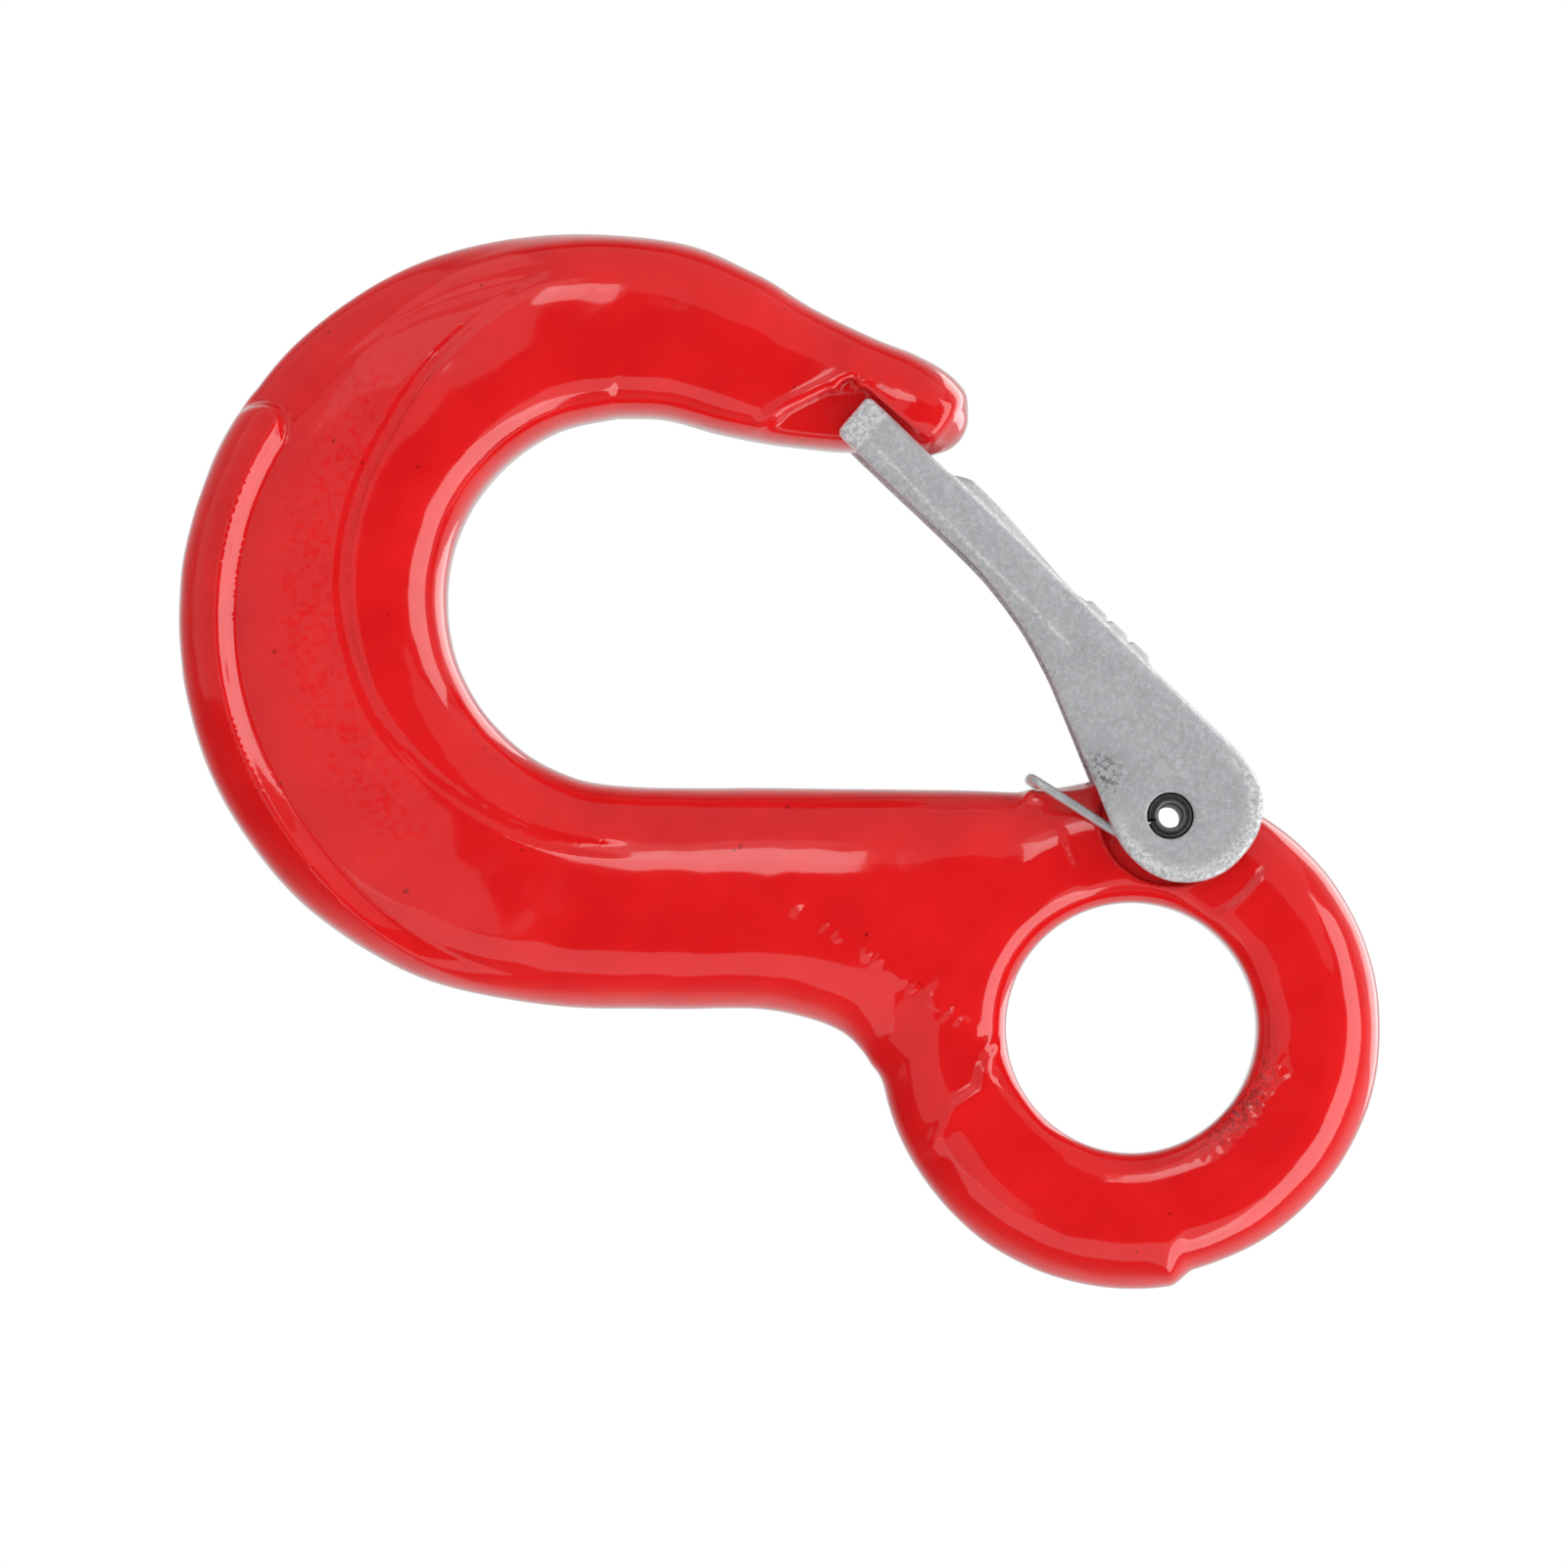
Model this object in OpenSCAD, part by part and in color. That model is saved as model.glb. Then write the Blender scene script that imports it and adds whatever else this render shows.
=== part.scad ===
// Eye sling hook with a spring-loaded latch, in millimetres.
// Origin: centre of the eye. +Z runs along the load line from the bowl to the eye.
// The eye's bore and the latch's pin lie along Y. The hook opens towards -X.

/* [Eye] */
// Diameter of the hole in the eye
eye_hole_d = 25; // [24:0.5:26]
// Outside diameter of the eye
eye_outer_d = 50.4; // [49:0.2:52]
// How far the eye's outside stands out further above the shank
eye_swell = 1.2; // [0.6:0.1:1.4]
// Thickness of the eye across its faces
eye_thick = 11.6; // [10.6:0.2:12.6]
// Length of the straight wall in the eye's hole
eye_land = 4; // [3:0.5:5]

/* [Hook] */
// Inside radius of the bowl
bowl_r = 18.5; // [18:0.25:19]
// Radius of the hook's back, round the outside of the bowl
back_r = 38.9; // [38:0.1:39.5]
// Thickness of the bowl where the load sits
bowl_thick = 18.6; // [17:0.2:20]
// Thickness of the shank between the eye and the bowl
shank_thick = 15.6; // [15:0.2:16.6]
// Thickness of the nose outside its latch seat
nose_thick = 14.6; // [14:0.2:15.6]
// Thickness of the nose between the latch's cheeks
seat_thick = 11.6; // [10:0.2:12]
// Thickness of the boss that the latch's pin is pressed into
boss_thick = 7.6; // [7:0.1:7.8]
// Radius of the boss round the pin
boss_r = 6.9; // [6:0.1:7.2]
// Radius of the shallow relief that the latch's cheeks turn in
relief_r = 10.6; // [10.2:0.1:11.2]
// Thickness left between the two shallow reliefs
relief_thick = 10.6; // [10.2:0.1:10.6]

/* [Latch] */
// Thickness of the latch's sheet steel
sheet = 1.8; // [1.4:0.1:2]
// Width across the outside of the latch's two cheeks
latch_wide = 16.6; // [16.4:0.1:17.2]
// Outside radius of the bends between web and cheeks
bend_r = 2.2; // [2.1:0.1:2.6]
// Clearance between the pin and the holes in the cheeks, on the radius
pin_clear = 0.08; // [0.05:0.01:0.12]

/* [Pin] */
// Outside diameter of the slotted spring pin
pin_d = 4.5; // [4:0.1:4.6]
// Diameter of the hole down the middle of the pin
pin_hole_d = 2.4; // [2:0.1:2.6]
// Width of the slot along the pin
pin_slot = 0.4; // [0.3:0.1:1]

/* [Spring] */
// Diameter of the spring wire
wire_d = 0.95; // [0.8:0.05:1]
// Mean radius of the spring's coils
coil_r = 4.25; // [3.8:0.05:4.3]

/* [Hidden] */
$fn = 96;

red = [0.9, 0.1, 0.11];
zinc = [0.69, 0.7, 0.71];
black = [0.08, 0.08, 0.08];
steel = [0.8, 0.8, 0.82];

far = 30;                      // longer than anything it has to cut through
pin_at = [-18.5, -10.8];       // x and z of the latch's pin
bowl_at = [0, -65.75];         // centre of the bowl's inside
back_at = [5.7, -69.65];       // centre of the curve of the back
bowl_from = -138;              // the bowl's arc runs between these angles
bowl_to = 38;
boss_bore_r = pin_d / 2;
// rounded to a binary fraction of a millimetre, so that the latch's inner faces, cut once as an
// outline and once as cubes, lie in exactly the same planes
inner_step = 1 / 512;
inner_wide = round((latch_wide - 2 * sheet) / inner_step) * inner_step;

function unit(v) = v / norm(v);
function xyz(p, y = 0) = [p[0], y, p[1]];
function on_arc(centre, r, a) = centre + r * [cos(a), sin(a)];

// Catmull-Rom curve through a list of points, with `steps` spans between two points
function spline_at(p, i, f) =
    let (a = p[max(i - 1, 0)], b = p[i], c = p[i + 1], d = p[min(i + 2, len(p) - 1)])
    0.5 * (2 * b + (c - a) * f + (2 * a - 5 * b + 4 * c - d) * f * f
           + (3 * b - a - 3 * c + d) * f * f * f);
function spline(p, steps) = concat(
    [for (i = [0:len(p) - 2], k = [0:steps - 1]) spline_at(p, i, k / steps)],
    [p[len(p) - 1]]);

// Outline from corners [x, z, radius]: each corner becomes an arc of its radius
function corner_arc(a, b, c, r, steps = 8) =
    let (u = unit(a - b), v = unit(c - b), half = acos(u * v) / 2,
         centre = b + unit(u + v) * r / sin(half),
         from = b + u * r / tan(half) - centre, to = b + v * r / tan(half) - centre,
         turn = 180 - 2 * half)
    [for (k = [0:steps])
        centre + (from * sin(turn * (1 - k / steps)) + to * sin(turn * k / steps)) / sin(turn)];
function rounded(corners) = [
    for (i = [0:len(corners) - 1])
        let (n = len(corners), a = corners[(i + n - 1) % n], b = corners[i], c = corners[(i + 1) % n])
        each corner_arc([a[0], a[1]], [b[0], b[1]], [c[0], c[1]], b[2])];

// Closed skin over equal rings of points, first and last ring capped
module skin(rings) {
    n = len(rings[0]);
    last = len(rings) - 1;
    sides = [for (i = [0:last - 1], j = [0:n - 1])
        [i * n + j, i * n + (j + 1) % n, (i + 1) * n + (j + 1) % n, (i + 1) * n + j]];
    split = [for (q = sides) each [[q[0], q[1], q[2]], [q[0], q[2], q[3]]]];
    polyhedron(points = [for (r = rings) each r],
        faces = concat([[for (j = [n - 1:-1:0]) j]], split, [[for (j = [0:n - 1]) last * n + j]]));
}

// Extrudes an outline drawn in x and z along Y, `wide` across and centred on y = 0
module slab(outline, wide) {
    rotate([90, 0, 0])
        linear_extrude(height = wide, center = true)
            polygon(outline);
}

// Round bar along Y through a point given by x and z
module bar_y(at, r, wide) {
    translate(xyz(at))
        rotate([90, 0, 0])
            cylinder(r = r, h = wide, center = true);
}

// ---- Hook body ----

// Stations along the hook: inner edge x, z, outer edge x, z, thickness
nose = [
    [-31.8, -52.0, -35.4, -51.9, nose_thick * 0.45],
    [-29.6, -53.7, -37.3, -53.5, nose_thick * 0.86],
    [-27.4, -56.6, -38.1, -56.8, nose_thick],
    [-24.8, -59.9, -37.3, -60.4, nose_thick],
    [-21.4, -64.9, -35.6, -65.2, nose_thick],
    [-18.4, -70.2, -34.2, -71.2, nose_thick + 0.6],
    [-15.9, -75.3, -33.0, -78.2, nose_thick + 1.4],
    [-12.9, -79.0, -29.6, -87.0, nose_thick + 2.4]];
bowl_step = (bowl_to - bowl_from) / 9;
bowl = [for (a = [bowl_from:bowl_step:bowl_to + 0.01])
    let (i = on_arc(bowl_at, bowl_r, a), o = on_arc(back_at, back_r, a))
    [i[0], i[1], o[0], o[1], bowl_thick - (bowl_thick - shank_thick) * pow(abs(sin((a + 90) / 2)), 2)]];
shank = [
    [6.2, -44.3, 29.0, -37.0, shank_thick],
    [-2.3, -34.1, 22.2, -28.8, shank_thick - 0.2],
    [-10.4, -24.2, 19.0, -21.2, shank_thick - 1.4],
    [-14.6, -18.2, 20.2, -15.6, eye_thick]];
stations = spline(concat(nose, bowl, shank), 3);
section_sides = 20;
squareness = 2.7;              // exponent of the section's superellipse

function power(v) = sign(v) * pow(abs(v), 2 / squareness);
function section(s) =
    let (mid = [s[0] + s[2], s[1] + s[3]] / 2, half = [s[2] - s[0], s[3] - s[1]] / 2)
    [for (j = [0:section_sides - 1])
        let (a = 360 * (j + 0.5) / section_sides)
        xyz(mid + half * power(cos(a)), -s[4] / 2 * power(sin(a)))];

// The eye's section: straight wall, quarter ellipses to the faces, rounded outside
eye_hole_r = eye_hole_d / 2;
eye_outer_r = eye_outer_d / 2;
inner_round = 5;               // reach of the rounding inside the eye
outer_round = 6.4;             // reach of the rounding outside
chamfer = 0.4;                 // the straight wall ends in a chamfer of this size
eye_arc = [for (a = [0:15:90])
    [eye_hole_r + chamfer + inner_round * (1 - cos(a)),
     eye_land / 2 + chamfer + (eye_thick - eye_land - 2 * chamfer) / 2 * sin(a)]];
eye_back = [for (a = [90:-11.25:0])
    [eye_outer_r - outer_round + outer_round * cos(a), eye_thick / 2 * sin(a)]];
eye_half = concat([[eye_hole_r - 1, eye_land / 2 - 1]], eye_arc, eye_back);
eye_section = concat(eye_half, [for (k = [len(eye_half) - 2:-1:0]) [eye_half[k][0], -eye_half[k][1]]]);

// The fuller side of the eye runs round from the shank and ends in a step
swell_from = -70;
swell_to = 50;
function swell(a) = eye_swell * (a - swell_from) / (swell_to - swell_from);
eye_side = [for (a = [swell_from:8:swell_to])
    let (i = on_arc([0, 0], eye_hole_r + 4.5, a), o = on_arc([0, 0], eye_outer_r + swell(a), a))
    [i[0], i[1], o[0], o[1], eye_thick * 0.8]];

// Web of metal that joins the boss to the eye and the shank, and the seat's outline
boss_web = [[-24.6, -8], [-18.9, -17.5], [-14.2, -19.9], [-11, -24], [-4, -19], [-12, -8]];
coil_room_r = 6.6;             // room round the pin for the spring's coils
seat = [[-31.3, -45], [-31.3, -63.4], [-28, -65.2], [-22.3, -66.2], [-12, -66.4], [-12, -45]];

module hook_body() {
    color(red)
    difference() {
        union() {
            skin([for (s = stations) section(s)]);
            skin([for (s = eye_side) section(s)]);
            rotate([90, 0, 0])
                rotate_extrude()
                    polygon(eye_section);
            slab(boss_web, boss_thick);
            bar_y(pin_at, boss_r, boss_thick);
        }
        bar_y([0, 0], eye_hole_r, far);
        bar_y(pin_at, boss_bore_r, far);
        for (side = [-1, 1]) {
            // room for the coils beside the boss, and the shallow relief round it
            translate([0, side * (boss_thick / 2 + far / 2), 0])
                bar_y(pin_at, coil_room_r, far);
            translate([0, side * (relief_thick / 2 + far / 2), 0])
                bar_y(pin_at, relief_r, far);
            // latch seat on each side of the nose
            translate([0, side * (seat_thick / 2 + far / 2), 0])
                slab(seat, far);
        }
    }
}

// ---- Latch ----

cheek = rounded([
    [-31.2, -61, 0.8], [-25.95, -61, 0.8], [-24.58, -35.2, 42],
    [-12.75, -12.27, 9], [-12.75, -2.7, 7.2], [-27.4, -2.7, 7.2]]);
web_top = [-27.4, -2.7];       // the web's outer face runs from here
web_foot = [-31.2, -61];       // to here, in x and z
web_from = -8.5;               // the web is cut back above and below these heights
web_to = -49.4;
lean = atan2(web_top[0] - web_foot[0], web_top[1] - web_foot[1]);

// U-shaped section: x from the web's outer face inwards, y across
module channel_section() {
    deep = 24;
    flat = latch_wide / 2 - bend_r;
    difference() {
        union() {
            translate([bend_r, -latch_wide / 2])
                square([deep, latch_wide]);
            translate([0, -flat])
                square([deep, 2 * flat]);
            for (side = [-1, 1])
                translate([bend_r, side * flat])
                    circle(r = bend_r);
        }
        translate([sheet, -inner_wide / 2])
            square([deep + bend_r, inner_wide]);
    }
}

module latch() {
    color(zinc)
    difference() {
        intersection() {
            slab(cheek, latch_wide + 2);
            translate(xyz(web_foot))
                rotate([0, lean, 0])
                    translate([0, 0, -5])
                        linear_extrude(height = 70)
                            channel_section();
        }
        // the web stops short of the pin and of the tip
        translate([-40, -inner_wide / 2, web_from])
            cube([far, inner_wide, far]);
        translate([-40, -inner_wide / 2, web_to - far])
            cube([far, inner_wide, far]);
        bar_y(pin_at, pin_d / 2 + pin_clear, far);
    }
}

// ---- Pin ----

pin_inset = 0.1;               // the pin's ends sit this far inside the cheeks
module latch_pin() {
    long = latch_wide - 2 * pin_inset;
    color(black)
    difference() {
        bar_y(pin_at, pin_d / 2, long);
        bar_y(pin_at, pin_hole_d / 2, far);
        translate([pin_at[0], -far / 2, pin_at[1] - pin_slot / 2])
            cube([pin_d, far, pin_slot]);
    }
}

// ---- Spring ----

wire_sides = 8;
turn_steps = 16;               // points round one turn of a coil
turn_pitch = 1.02 * wire_d;
coil_in = boss_thick / 2 + 0.6 * wire_d;      // y of the coil's inner end
fixed_turn = -10;              // angle at which the fixed leg leaves the coil
free_turn = 165;               // angle at which the free leg leaves it
turns = 2 - (free_turn - fixed_turn) / 360;
coil_steps = round(turns * turn_steps);
coil_out = coil_in + turns * turn_pitch;
fixed_foot = [-12.5, -23.6];   // x and z of the cross-bar on the shank
free_foot = [-26.6, -32];      // x and z of the free leg's end on the web

// One side of the spring, from the free leg's end to the middle of the cross-bar
half_spring = concat(
    [xyz(free_foot, coil_in), xyz([-24.6, -21], coil_in)],
    [for (k = [0:coil_steps])
        let (f = k / coil_steps, a = free_turn + f * 360 * turns)
        xyz(on_arc(pin_at, coil_r, a), coil_in + f * (coil_out - coil_in))],
    [xyz([-13.4, -17], coil_out), xyz([-12.8, -21.6], coil_out),
     xyz([-12.62, -22.9], coil_out - 0.1), xyz(fixed_foot, coil_out - 0.8),
     xyz(fixed_foot, coil_out - 2), xyz(fixed_foot, 1)]);
wire = concat(half_spring,
    [for (k = [len(half_spring) - 1:-1:0]) [half_spring[k][0], -half_spring[k][1], half_spring[k][2]]]);
wire_last = len(wire) - 1;
along = [for (i = [0:wire_last]) unit(wire[min(i + 1, wire_last)] - wire[max(i - 1, 0)])];
// a vector square to the wire, carried along it without twist
square_to = [for (i = 0, v = unit(cross(along[0], [0, 1, 0])); i <= wire_last;
    i = i + 1, v = unit(v - (v * along[min(i, wire_last)]) * along[min(i, wire_last)])) v];

module latch_spring() {
    color(steel)
        skin([for (i = [0:wire_last])
            let (v = square_to[i], w = cross(along[i], v))
            [for (j = [0:wire_sides - 1])
                let (a = -360 * j / wire_sides)
                wire[i] + wire_d / 2 * (cos(a) * v + sin(a) * w)]]);
}

hook_body();
latch();
latch_pin();
latch_spring();
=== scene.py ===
"""Looks of the eye sling hook with latch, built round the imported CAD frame.

Shapes are worked out in millimetres and made into meshes in metres. The forging, the latch
and the pin are each a smooth field in space, negative inside, that is sampled on a grid,
meshed, and then drawn on to the exact surface. y is across the hook, x and z lie in its plane.
"""
import math
import bpy
import numpy as np
from mathutils import Matrix, Vector


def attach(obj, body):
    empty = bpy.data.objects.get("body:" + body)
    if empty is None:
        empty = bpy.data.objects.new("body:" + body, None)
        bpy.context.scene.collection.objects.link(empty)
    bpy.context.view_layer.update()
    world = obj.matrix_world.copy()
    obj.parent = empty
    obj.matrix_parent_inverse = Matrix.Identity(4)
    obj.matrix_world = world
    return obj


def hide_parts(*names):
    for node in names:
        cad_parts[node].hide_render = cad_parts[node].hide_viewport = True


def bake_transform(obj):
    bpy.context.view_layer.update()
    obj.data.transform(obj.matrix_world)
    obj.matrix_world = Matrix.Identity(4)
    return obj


MM = 0.001
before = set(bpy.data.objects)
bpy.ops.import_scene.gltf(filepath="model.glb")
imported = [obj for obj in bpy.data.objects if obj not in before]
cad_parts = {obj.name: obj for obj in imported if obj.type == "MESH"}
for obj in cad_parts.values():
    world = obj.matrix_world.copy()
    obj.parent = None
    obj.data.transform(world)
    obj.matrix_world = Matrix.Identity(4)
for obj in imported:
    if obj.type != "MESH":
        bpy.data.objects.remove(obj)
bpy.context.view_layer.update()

# ---- Sizes in millimetres, each the same as the CAD model's or within 0.3 of it ----
EYE_R = 12.5
EYE_OUTER_R = 25.0
EYE_SWELL = 1.15               # how far the eye's outside stands out on its +X side
EYE_HALF = 5.75
PIN_AT = (-18.5, -10.8)
PIN_R = 2.25
PIN_HOLE_R = 1.2
BOSS_HALF = 3.8
BOSS_R = 6.9
RELIEF_R = 10.5
RELIEF_HALF = 5.5
COIL_ROOM_R = 6.9
SEAT_HALF = 5.8
BOWL_AT = (0.0, -65.75)
BOWL_R = 18.5
BACK_AT = (5.7, -69.65)
BACK_R = 38.65
LATCH_HALF = 8.3
SHEET = 1.8
BEND_R = 2.2
PIN_CLEAR = 0.08
WIRE_R = 0.475
COIL_R = 4.25
# these two have no counterpart in the CAD model
EYE_OVERLAP = 0.12             # the eye's section reaches this far into the bore that cuts it
FACE_Z = -66.0                 # height of the middle that the bowl's fine shape is laid out round


# ---- Small mathematics ----
def smin(a, b, k):
    """Smaller of two fields, with a fillet about k wide where they meet."""
    h = np.clip(0.5 + 0.5 * (b - a) / k, 0, 1)
    return b + (a - b) * h - k * h * (1 - h)


def smax(a, b, k):
    return -smin(-a, -b, k)


def step(low, high, v):
    """Smooth ramp from 0 at low to 1 at high."""
    f = np.clip((v - low) / (high - low), 0, 1)
    return f * f * (3 - 2 * f)


def bump(distance, width):
    return np.exp(-((distance / width) ** 2))


def polar(x, z):
    """Distance from the origin in the hook's plane, and angle round it in degrees."""
    return np.hypot(x, z), np.degrees(np.arctan2(z, x))


def pin_distance(x, z):
    return np.hypot(x - PIN_AT[0], z - PIN_AT[1])


def spline(points, steps):
    """Catmull-Rom curve through points, with `steps` spans between two of them."""
    p = np.array(points, float)
    rows = []
    for i in range(len(p) - 1):
        a, b, c, d = p[max(i - 1, 0)], p[i], p[i + 1], p[min(i + 2, len(p) - 1)]
        for k in range(steps):
            f = k / steps
            rows.append(0.5 * (2 * b + (c - a) * f + (2 * a - 5 * b + 4 * c - d) * f * f
                               + (3 * b - a - 3 * c + d) * f ** 3))
    rows.append(p[-1])
    return np.array(rows)


def rounded(corners, steps):
    """Outline from corners (x, z, radius): each corner becomes an arc of `steps` spans."""
    out = []
    n = len(corners)
    for i in range(n):
        a, b, c = (np.array(corners[(i + k) % n][:2], float) for k in (-1, 0, 1))
        u, v = (a - b) / np.linalg.norm(a - b), (c - b) / np.linalg.norm(c - b)
        half = math.acos(float(u @ v)) / 2
        r = corners[i][2]
        centre = b + (u + v) / np.linalg.norm(u + v) * r / math.sin(half)
        start, end = b + u * r / math.tan(half) - centre, b + v * r / math.tan(half) - centre
        turn = math.pi - 2 * half
        for k in range(steps + 1):
            f = k / steps
            out.append(centre + (start * math.sin(turn * (1 - f)) + end * math.sin(turn * f))
                       / math.sin(turn))
    return np.array(out)


def outline_distance(outline, x, z):
    """Distance to a closed outline, negative inside."""
    x, z = np.broadcast_arrays(x, z)
    best = np.full(x.shape, 1e9)
    inside = np.zeros(x.shape, bool)
    for a, b in zip(outline, np.roll(outline, -1, axis=0)):
        e = b - a
        px, pz = x - a[0], z - a[1]
        f = np.clip((px * e[0] + pz * e[1]) / max(e @ e, 1e-12), 0, 1)
        best = np.minimum(best, (px - e[0] * f) ** 2 + (pz - e[1] * f) ** 2)
        crosses = (a[1] > z) != (b[1] > z)
        with np.errstate(divide="ignore", invalid="ignore"):
            at = a[0] + (z - a[1]) * e[0] / e[1]
        inside ^= crosses & (x < at)
    return np.where(inside, -1, 1) * np.sqrt(best)


def path_distance(points, x, z):
    """Distance to an open path."""
    best = 1e9
    for a, b in zip(points[:-1], points[1:]):
        ex, ez = b[0] - a[0], b[1] - a[1]
        px, pz = x - a[0], z - a[1]
        f = np.clip((px * ex + pz * ez) / (ex * ex + ez * ez), 0, 1)
        best = np.minimum(best, (px - ex * f) ** 2 + (pz - ez * f) ** 2)
    return np.sqrt(best)


def waves(seed, count, shortest, longest):
    """Seeded gentle unevenness: a sum of plane waves, as a function of x, y, z."""
    rng = np.random.default_rng(seed)
    way = rng.normal(size=(count, 3))
    way /= np.linalg.norm(way, axis=1)[:, None]
    length = rng.uniform(shortest, longest, count)
    phase = rng.uniform(0, 2 * math.pi, count)

    def value(x, y, z):
        total = 0
        for w, l, p in zip(way, length, phase):
            total = total + np.sin((x * w[0] + y * w[1] + z * w[2]) * 2 * math.pi / l + p)
        return total / math.sqrt(count)
    return value


# ---- Meshing a field ----
SLOPE_REACH = 0.04             # distance over which a field's slope is measured
LEAST_SLOPE = 0.05             # square of the flattest slope that a point is moved along
LONGEST_MOVE = 0.15            # how far a point may move in one round


def surface_net(field, low, size):
    """Quads round the negative side of a field sampled on a grid."""
    inside = field < 0
    shape = np.array(field.shape) - 1
    held = np.zeros(shape, np.int8)
    for i in (0, 1):
        for j in (0, 1):
            for k in (0, 1):
                held += inside[i:shape[0] + i, j:shape[1] + j, k:shape[2] + k]
    mixed = (held > 0) & (held < 8)
    index = np.full(shape, -1)
    index[mixed] = np.arange(mixed.sum())
    cells = np.argwhere(mixed)
    total = np.zeros((len(cells), 3))
    number = np.zeros(len(cells))
    for axis in range(3):
        others = [d for d in range(3) if d != axis]
        for i in (0, 1):
            for j in (0, 1):
                a = np.zeros(3, int)
                a[others] = (i, j)
                b = a.copy()
                b[axis] = 1
                fa, fb = field[tuple((cells + a).T)], field[tuple((cells + b).T)]
                cut = (fa < 0) != (fb < 0)
                f = np.where(cut, fa / np.where(cut, fa - fb, 1), 0)
                total[cut] += a
                total[cut, axis] += f[cut]
                number += cut
    points = np.array(low) + (cells + total / number[:, None]) * size
    quads = []
    for axis in range(3):
        d, e = [(1, 2), (2, 0), (0, 1)][axis]
        near = [slice(None)] * 3
        near[axis] = slice(0, -1)
        off = [slice(None)] * 3
        off[axis] = slice(1, None)
        near, off = inside[tuple(near)], inside[tuple(off)]
        for sign in (True, False):
            at = np.argwhere((near != off) & (near == sign))
            at = at[(at[:, d] > 0) & (at[:, e] > 0)]
            ring = []
            for back_d, back_e in ((0, 0), (1, 0), (1, 1), (0, 1)):
                c = at.copy()
                c[:, d] -= back_d
                c[:, e] -= back_e
                ring.append(index[tuple(c.T)])
            quad = np.stack(ring, axis=1)
            quads.append(quad if sign else quad[:, ::-1])
    return points, np.concatenate(quads)


def settle(points, field, rounds):
    """Moves each point along the field's slope on to the surface."""
    for _ in range(rounds):
        f = field(*points.T)
        slope = np.stack([(field(*(points + SLOPE_REACH * d).T) - f) / SLOPE_REACH
                          for d in np.eye(3)], axis=1)
        size = np.maximum((slope ** 2).sum(axis=1), LEAST_SLOPE)
        move = -f[:, None] * slope / size[:, None]
        length = np.linalg.norm(move, axis=1)[:, None]
        points = points + move * np.minimum(1, LONGEST_MOVE / np.maximum(length, 1e-9))
    return points


def relax(points, quads, rounds):
    """Evens out the net: each point goes part of the way to the middle of its neighbours."""
    for _ in range(rounds):
        total = np.zeros_like(points)
        number = np.zeros(len(points))
        for a, b in ((0, 1), (1, 2), (2, 3), (3, 0)):
            np.add.at(total, quads[:, a], points[quads[:, b]])
            np.add.at(number, quads[:, a], 1)
        points = points + 0.5 * (total / number[:, None] - points)
    return points


def make_mesh(name, points, faces, material, **values):
    """Smooth-shaded object from points in millimetres, with one number per point for each value."""
    mesh = bpy.data.meshes.new(name)
    mesh.vertices.add(len(points))
    mesh.vertices.foreach_set("co", (np.asarray(points) * MM).ravel())
    faces = np.asarray(faces)
    mesh.loops.add(faces.size)
    mesh.loops.foreach_set("vertex_index", faces.ravel().astype(np.int32))
    mesh.polygons.add(len(faces))
    mesh.polygons.foreach_set("loop_start", np.arange(0, faces.size, faces.shape[1], dtype=np.int32))
    mesh.polygons.foreach_set("use_smooth", np.ones(len(faces), bool))
    mesh.update(calc_edges=True)
    mesh.validate()
    for key, value in values.items():
        mesh.attributes.new(key, "FLOAT", "POINT").data.foreach_set("value", value.astype(np.float32))
    mesh.materials.append(material)
    obj = bpy.data.objects.new(name, mesh)
    bpy.context.scene.collection.objects.link(obj)
    return obj


def mesh_field(field, low, high, size):
    """Points and quads of a field's surface inside a box, drawn on to the exact surface."""
    axes = [np.arange(a, b + size, size) for a, b in zip(low, high)]
    x, y, z = axes[0][:, None, None], axes[1][None, :, None], axes[2][None, None, :]
    values = field(x, y, z)
    points, quads = surface_net(np.broadcast_to(values, tuple(len(a) for a in axes)), low, size)
    points = settle(points, field, 2)
    points = relax(points, quads, 1)
    return settle(points, field, 3), quads


# ---- The forging ----
# Stations along the hook: inner edge x, z, outer edge x, z, half thickness
NOSE = [
    (-29.6, -54.0, -37.6, -54.6, 6.6),
    (-27.4, -56.8, -37.76, -57.0, 7.2),
    (-24.8, -59.9, -37.3, -60.2, 7.3),
    (-21.4, -64.9, -35.6, -65.1, 7.3),
    (-18.4, -70.2, -34.15, -71.1, 7.6),
    (-15.9, -75.3, -33.1, -77.7, 8.0),
    (-12.7, -79.2, -30.0, -86.3, 8.5)]
SHANK = [
    (6.2, -44.3, 29.0, -36.9, 7.8),
    (-2.3, -34.1, 22.3, -28.8, 7.7),
    (-9.4, -25.5, 19.2, -22.2, 7.2),
    (-13.5, -19.5, 19.6, -17.2, 5.7)]
STATION_STEPS = 24             # sections worked out between two stations
REACH = 1.9                    # how far beside a section the plan follows it, in half widths


def bowl_stations():
    """Stations round the bowl, between the arcs of its inside and its back."""
    rows = []
    for a in np.linspace(-136, 37, 10):
        u = np.array([math.cos(math.radians(a)), math.sin(math.radians(a))])
        i, o = BOWL_AT + BOWL_R * u, BACK_AT + BACK_R * u
        half = 9.15 - 1.4 * math.sin(math.radians(a + 90) / 2) ** 2
        rows.append((i[0], i[1], o[0], o[1], half))
    return rows


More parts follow.
